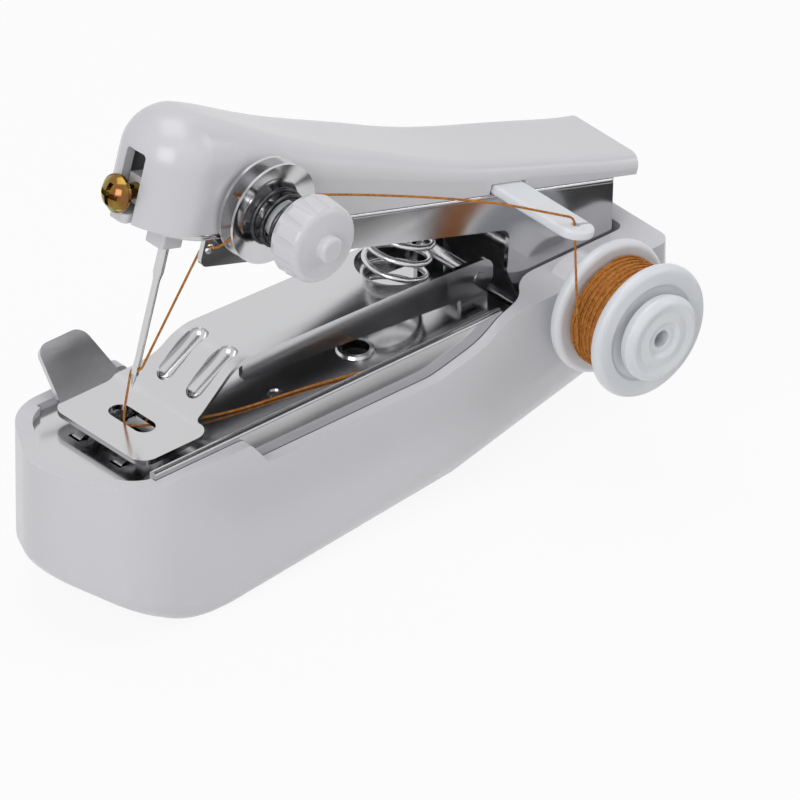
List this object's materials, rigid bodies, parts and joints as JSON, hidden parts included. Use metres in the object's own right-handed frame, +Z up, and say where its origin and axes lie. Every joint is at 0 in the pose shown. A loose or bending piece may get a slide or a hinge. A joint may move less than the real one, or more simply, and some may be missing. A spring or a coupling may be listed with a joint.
{
  "type": "handheld sewing machine",
  "caption": "Hand-held stapler-type sewing machine: pressed arm with needle and tension knob over a bed with presser foot, feed and looper, bobbin on the side.",
  "frame": {"origin": "middle of the flat sole that the machine stands on", "axes": "+X to the hinge end, -Y to the bobbin side, +Z up"},
  "size_m": [0.107, 0.0479, 0.0767],
  "materials": {
    "white_gloss": "glossy moulded",
    "white_nylon": "translucent moulded",
    "chrome_plate": "bright plated",
    "steel": "bright",
    "dark_spring_steel": "blackened",
    "yellow_zinc": "iridescent yellow zinc",
    "orange_thread": "twisted thread"
  },
  "bodies": {
    "base": {"base_housing": "white_gloss", "bed_tray": "chrome_plate", "bed_screws": "steel", "hinge_bracket": "steel", "arm_pivot_pin": "steel", "pivot_clips": "steel", "presser_pin": "steel", "looper_pin": "steel", "return_spring": "steel"},
    "arm": {"arm_channel": "chrome_plate", "arm_cover": "white_gloss", "needle_holder": "white_gloss", "needle": "steel", "tension_post": "chrome_plate", "tension_disc_inner": "chrome_plate", "tension_disc_outer": "chrome_plate", "tension_spring": "dark_spring_steel", "thread_guide": "white_nylon", "drive_pin": "steel", "thread_upper": "orange_thread", "thread_lower": "orange_thread"},
    "needle_screw": {"needle_clamp_screw": "yellow_zinc"},
    "cup": {"tension_cup": "chrome_plate"},
    "knob": {"tension_knob": "white_gloss"},
    "presser": {"presser_plate": "chrome_plate"},
    "feed": {"feed_bar": "steel"},
    "looper": {"looper": "steel"},
    "spindle": {"spool_spindle": "white_nylon"},
    "bobbin": {"bobbin": "white_nylon", "thread_winding": "orange_thread", "thread_turns": "orange_thread"}
  },
  "joints": [
    {"name": "arm_press", "type": "hinge", "parent": "base", "child": "arm", "pos_m": [0.042, 0, 0.021], "axis": [0, -1, 0], "range_deg": [0, 12], "stiffness_Nm_per_rad": 2, "springref_deg": -17.19, "deforming": ["return_spring", "thread_upper", "thread_lower"]},
    {"name": "presser_lift", "type": "hinge", "parent": "base", "child": "presser", "pos_m": [0.024, 0, 0.0294], "axis": [0, 1, 0], "range_deg": [0, 4.5], "stiffness_Nm_per_rad": 0.3, "springref_deg": -17.19},
    {"name": "feed_slide", "type": "slide", "parent": "base", "child": "feed", "axis": [1, 0, 0], "range_m": [0, 0.0019]},
    {"name": "looper_swing", "type": "hinge", "parent": "base", "child": "looper", "pos_m": [-0.026, 0.0065, 0.0196], "axis": [0, 0, 1], "range_deg": [0, 19.8]},
    {"name": "tension_slide", "type": "slide", "parent": "arm", "child": "cup", "axis": [0, 1, 0], "range_m": [0, 0.0012], "deforming": ["tension_spring"]},
    {"name": "tension_turn", "type": "hinge", "parent": "cup", "child": "knob", "pos_m": [-0.0195, -0.02, 0.06118], "axis": [0, 1, 0], "range_deg": [0, 545]},
    {"name": "spindle_pull", "type": "slide", "parent": "base", "child": "spindle", "axis": [0, -1, 0], "range_m": [0, 0.018]},
    {"name": "bobbin_spin", "type": "hinge", "parent": "spindle", "child": "bobbin", "pos_m": [0.0383, -0.0223, 0.0244], "axis": [0, 1, 0], "continuous": true},
    {"name": "needle_screw_turn", "type": "hinge", "parent": "arm", "child": "needle_screw", "pos_m": [-0.03349, 0, 0.06568], "axis": [-0.9598, 0, 0.2807], "range_deg": [0, 360]}
  ],
  "couplings": [
    {"joint": "feed_slide", "follows": "arm_press", "m_per_rad": 0.008984},
    {"joint": "looper_swing", "follows": "arm_press", "ratio": 1.6334},
    {"joint": "tension_turn", "follows": "tension_slide", "rad_per_m": 7854}
  ]
}
